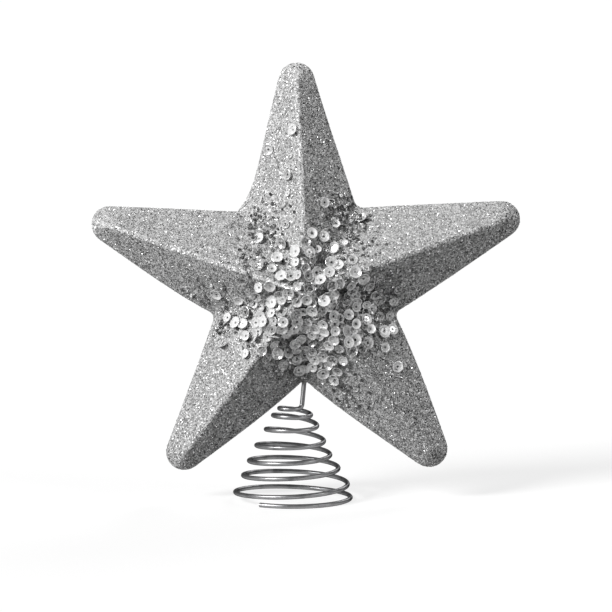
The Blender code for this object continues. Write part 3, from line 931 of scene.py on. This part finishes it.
def steelMaterial():
    # bright drawn spring wire: fine streaks along its length, slightly mottled
    made, tree, shader = newMaterial("spring_steel")
    uv = placeNode(tree, "UV")
    drawn = addNode(tree, "ShaderNodeMapping", {"Vector": uv, "Scale": wireSteel["streak"]}).outputs[0]
    streak = noiseNode(tree, drawn, *wireSteel["streakNoise"])
    both = mathNode(tree, "ADD", streak, noiseNode(tree, placeNode(tree), *wireSteel["mottle"]))
    setInputs(tree, shader, {
        "Base Color": rampNode(tree, both, wireSteel["colours"]),
        "Roughness": mapNode(tree, streak, *wireSteel["roughness"]),
        "Normal": bumpNode(tree, streak, *wireSteel["bump"]),
        "Metallic": wireSteel["metallic"], "Specular Tint": wireSteel["edgeTint"]})
    return made


steel = steelMaterial()
lowerWire = wirePiece("spring_lower_turns", coilPoints(turnsBetween(spring["nodTurn"], spring["endTurn"])), steel)
middleWire = wirePiece("spring_middle_turns", coilPoints(turnsBetween(spring["swayTurn"], spring["nodTurn"])), steel)
neckCoil = coilPoints(turnsBetween(spring["startTurn"] + spring["joinTurns"], spring["swayTurn"]))
neckWire = wirePiece("spring_neck_and_stem", np.concatenate([stemPath(), neckCoil]), steel)
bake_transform(lowerWire)
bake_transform(middleWire)
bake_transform(neckWire)
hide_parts("spring_wire_foot_turns", "spring_wire_lower_turns")
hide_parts("spring_wire_upper_turns")
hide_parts("spring_wire_stem")
print("spring wire:", sum(len(wire.data.polygons) for wire in (lowerWire, middleWire, neckWire)), "faces")


# Drop of glue round the stem

glueDrop = {
    "outer": 0.0027,
    "inner": 0.00116,
    "rise": 0.0032,
    "drop": 0.0014,
    "place": (0.00019, 0.0, 0.05679),
    "direction": (0.074, 0.226, 0.971),
    "swell": ((0.08, 2, 0.7), (0.06, 3, 2.0)),  # strength, number and phase of the waves round it
    "sides": 32,
    "levels": 14,
    "cloud": (420.0, 3.0),  # scale and detail
    "bump": (0.3, 0.0004),  # strength and distance
    "colours": [(0.3, (0.28, 0.28, 0.28)), (0.7, (0.55, 0.55, 0.54))],
    "roughness": 0.22,
    "coat": 0.4,
}


def glueMaterial():
    # clear-milky glue with cloudy thickness
    made, tree, shader = newMaterial("glue")
    cloud = noiseNode(tree, placeNode(tree), *glueDrop["cloud"])
    setInputs(tree, shader, {
        "Base Color": rampNode(tree, cloud, glueDrop["colours"]), "Normal": bumpNode(tree, cloud, *glueDrop["bump"]),
        "Roughness": glueDrop["roughness"], "Coat Weight": glueDrop["coat"]})
    return made


def gluePiece():
    # a fillet turned about the stem: its radius falls from outer to inner as the square of the way down, swollen
    # unevenly round it
    sides, levels = glueDrop["sides"], glueDrop["levels"]
    around = roundAngles(sides)
    down = np.linspace(0, 1, levels)
    swell = np.ones(sides)
    for strength, number, phase in glueDrop["swell"]:
        swell = swell + strength * np.sin(number * around + phase)
    radius = glueDrop["inner"] + (glueDrop["outer"] - glueDrop["inner"]) * ((1 - down) ** 2)[:, None] * swell[None]
    height = glueDrop["rise"] - (glueDrop["rise"] + glueDrop["drop"]) * down[:, None] + np.zeros_like(radius)
    axis = unit(np.array(glueDrop["direction"]))
    across = unit(np.cross(axis, np.array([0.0, 1.0, 0.0])))
    along = np.cross(axis, across)
    local = across * (radius * np.cos(around))[..., None] + along * (radius * np.sin(around))[..., None]
    local = local + axis * height[..., None]
    ends = axis * np.array([[glueDrop["rise"]], [-glueDrop["drop"]]])
    verts = np.concatenate([local.reshape(-1, 3), ends]) + np.array(glueDrop["place"])
    ring = np.arange(sides)
    top = fanFaces(levels * sides, ring)
    bottom = fanFaces(levels * sides + 1, (levels - 1) * sides + ring, flipped=True)
    wall = gridFaces(levels, sides, True)[:, ::-1]
    return newPiece("glue_drop_round_stem", verts, [wall, top, bottom], glueMaterial())


glue = gluePiece()
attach(glue, "star")
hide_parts("glue_drop")
print("glue drop:", len(glue.data.polygons), "faces")


# Floor, lamps and camera

def floorMaterial():
    # white paper sweep: white to the eye, greyer to bounced light so that it doesn't light the star from below
    made, tree, shader = newMaterial("white_floor")
    path = addNode(tree, "ShaderNodeLightPath").outputs
    seen = mathNode(tree, "MAXIMUM", path["Is Camera Ray"], path["Is Glossy Ray"])
    seen = mathNode(tree, "MAXIMUM", seen, path["Is Transmission Ray"])
    setInputs(tree, shader, {
        "Base Color": rampNode(tree, seen, [(0.0, studio["floorBounced"]), (1.0, studio["floorSeen"])]),
        "Emission Color": (1, 1, 1, 1), "Emission Strength": mathNode(tree, "MULTIPLY", seen, studio["floorGlow"]),
        "Roughness": 1.0, "Specular IOR Level": 0.0})
    return made


def sunLamp(name):
    # a wide sun that shines from its place towards the middle
    lamp = bpy.data.lights.new(name, "SUN")
    lamp.energy = studio[name + "Strength"]
    lamp.angle = studio["lampAngle"]
    holder = bpy.data.objects.new(name, lamp)
    holder.rotation_euler = Vector(studio[name + "From"]).to_track_quat("Z", "Y").to_euler()
    scene.collection.objects.link(holder)


floorSteps = np.linspace(-studio["floorHalf"], studio["floorHalf"], studio["floorLines"])
floorX, floorY = np.meshgrid(floorSteps, floorSteps, indexing="ij")
floorVerts = np.stack([floorX, floorY, np.zeros_like(floorX)], -1)
floorFaces = gridFaces(studio["floorLines"], studio["floorLines"], False)[:, ::-1]
floor = newPiece("floor", floorVerts, [floorFaces], floorMaterial(), smooth=False)
for lampName in ("key", "fill", "back"):
    sunLamp(lampName)
world = bpy.data.worlds.new("studio")
world.use_nodes = True
background = world.node_tree.nodes["Background"]
setInputs(world.node_tree, background, {"Color": (1, 1, 1, 1), "Strength": studio["world"]})
scene.world = world
scene.view_settings.view_transform = "Standard"

lens = bpy.data.cameras.new("photo_camera")
lens.sensor_width = camera["sensor"]
lens.sensor_fit = "HORIZONTAL"
lens.lens = camera["focalPixels"] / camera["photoPixels"] * camera["sensor"]
lens.clip_end = camera["farthest"]
eye = bpy.data.objects.new("photo_camera", lens)
towards = Vector(towardsEye)
eye.location = Vector(camera["target"]) + towards * camera["distance"]
eye.rotation_euler = towards.to_track_quat("Z", "Y").to_euler()
scene.collection.objects.link(eye)
scene.camera = eye
print("studio ready")
